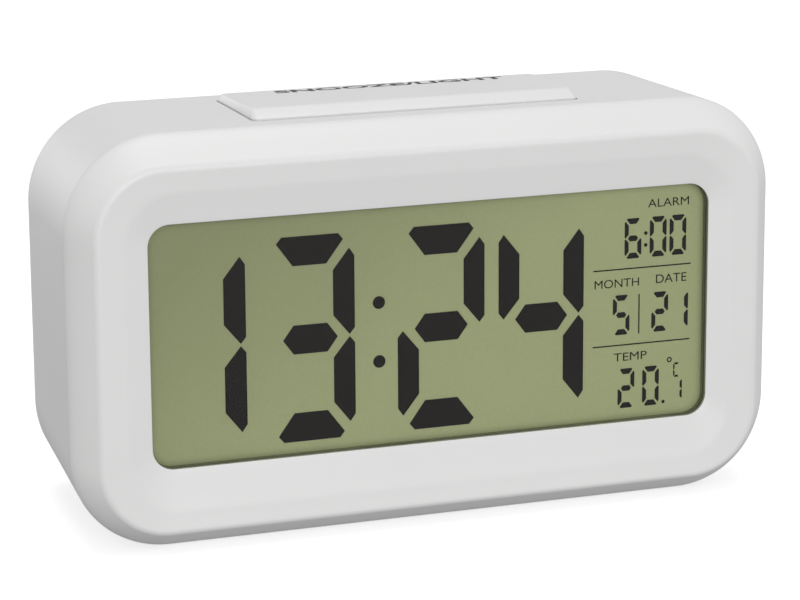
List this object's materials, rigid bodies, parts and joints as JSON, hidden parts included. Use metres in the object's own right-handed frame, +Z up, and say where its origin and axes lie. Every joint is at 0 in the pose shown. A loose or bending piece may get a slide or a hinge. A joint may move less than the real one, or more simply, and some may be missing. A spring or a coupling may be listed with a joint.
{
  "type": "alarm clock",
  "caption": "Free-standing battery alarm clock with a large liquid-crystal display, a long snooze and light bar on top, and keys, alarm slide and battery door at the back.",
  "frame": {"origin": "middle of the underside, on the surface that the clock stands on", "axes": "+X to the right of the display, +Y from the front to the back, +Z up; the face leans back from +Z"},
  "size_m": [0.135, 0.0496, 0.0762],
  "materials": {
    "front_shell": "fine satin white, moulded",
    "rear_shell": "fine satin white, moulded",
    "snooze_cap": "smooth satin white",
    "key_plastic": "satin light grey",
    "door_plastic": "fine satin white, moulded",
    "window_clear": "clear acrylic, slightly worn",
    "gasket_foam": "closed-cell foam",
    "lcd_film": "grey-green polarising film",
    "lcd_glass": "thin float glass",
    "guide_acrylic": "clear acrylic",
    "reflector_film": "white film",
    "tray_white": "white moulded plastic",
    "zebra_rubber": "striped silicone rubber",
    "lamp_resin": "yellow resin in a white body",
    "flex_amber": "amber flexible circuit",
    "board_green": "green solder mask",
    "resin_black": "black epoxy",
    "can_steel": "drawn can",
    "sleeve_blue": "shrunk sleeve",
    "chip_ceramic": "fired chip parts",
    "screw_steel": "zinc-plated",
    "switch_black": "moulded switch body",
    "switch_case": "folded tin-plate",
    "contact_nickel": "nickel-plated spring steel",
    "cell_jacket": "plain printed jacket",
    "disc_brass": "rolled brass",
    "disc_ceramic": "silvered ceramic",
    "lead_red": "soft PVC",
    "lead_black": "soft PVC",
    "lead_grey": "soft PVC ribbon",
    "socket_white": "natural nylon",
    "bead_resin": "dipped resin"
  },
  "bodies": {
    "case": {"backlight_leds": "lamp_resin", "battery_bridge": "contact_nickel", "battery_cells": "cell_jacket", "battery_flat_contact": "contact_nickel", "battery_lead_negative": "lead_black", "battery_lead_positive": "lead_red", "battery_spring_contact": "contact_nickel", "board_capacitors": "sleeve_blue", "board_resistors": "chip_ceramic", "board_screws": "screw_steel", "case_screws": "screw_steel", "chip_blob": "resin_black", "clock_crystal": "can_steel", "display_window": "window_clear", "front_bezel": "front_shell", "front_polariser": "lcd_film", "key_board": "board_green", "key_board_screws": "screw_steel", "key_ribbon": "lead_grey", "key_switches": "switch_black", "lcd_frame": "tray_white", "lcd_front_glass": "lcd_glass", "lcd_rear_glass": "lcd_glass", "led_strip": "flex_amber", "light_guide": "guide_acrylic", "main_board": "board_green", "rear_case": "rear_shell", "rear_polariser": "lcd_film", "reflector_sheet": "reflector_film", "ribbon_connector": "socket_white", "slide_switch_body": "switch_case", "snooze_board": "board_green", "snooze_board_screws": "screw_steel", "snooze_leads": "lead_grey", "snooze_switches": "switch_black", "sounder_ceramic": "disc_ceramic", "sounder_disc": "disc_brass", "sounder_leads": "lead_black", "sounder_ring": "switch_black", "temperature_sensor": "bead_resin", "window_gasket": "gasket_foam", "zebra_strip": "zebra_rubber"},
    "snooze_bar": {"snooze_button": "snooze_cap", "snooze_plungers": "switch_black"},
    "alarm_switch": {"alarm_slider": "key_plastic", "slide_switch_lever": "switch_black"},
    "door": {"battery_door": "door_plastic"},
    "mode_key": {"mode_button": "key_plastic", "mode_plunger": "switch_black"},
    "up_key": {"up_button": "key_plastic", "up_plunger": "switch_black"},
    "down_key": {"down_button": "key_plastic", "down_plunger": "switch_black"},
    "unit_key": {"unit_button": "key_plastic", "unit_plunger": "switch_black"}
  },
  "joints": [
    {"name": "snooze_press", "type": "slide", "parent": "case", "child": "snooze_bar", "axis": [0, -0.0645, -0.9979], "range_m": [0, 0.001], "stiffness_N_per_m": 900, "springref_m": -0.0008},
    {"name": "mode_press", "type": "slide", "parent": "case", "child": "mode_key", "axis": [0, -0.9979, 0.0645], "range_m": [0, 0.0005], "stiffness_N_per_m": 1500, "springref_m": -0.0004},
    {"name": "up_press", "type": "slide", "parent": "case", "child": "up_key", "axis": [0, -0.9979, 0.0645], "range_m": [0, 0.0005], "stiffness_N_per_m": 1500, "springref_m": -0.0004},
    {"name": "down_press", "type": "slide", "parent": "case", "child": "down_key", "axis": [0, -0.9979, 0.0645], "range_m": [0, 0.0005], "stiffness_N_per_m": 1500, "springref_m": -0.0004},
    {"name": "unit_press", "type": "slide", "parent": "case", "child": "unit_key", "axis": [0, -0.9979, 0.0645], "range_m": [0, 0.0005], "stiffness_N_per_m": 1500, "springref_m": -0.0004},
    {"name": "alarm_slide", "type": "slide", "parent": "case", "child": "alarm_switch", "axis": [1, 0, 0], "range_m": [0, 0.003]},
    {"name": "door_swing", "type": "hinge", "parent": "case", "child": "door", "pos_m": [0, 0.01955, 0.00852], "axis": [-1, 0, 0], "range_deg": [0, 80]}
  ]
}
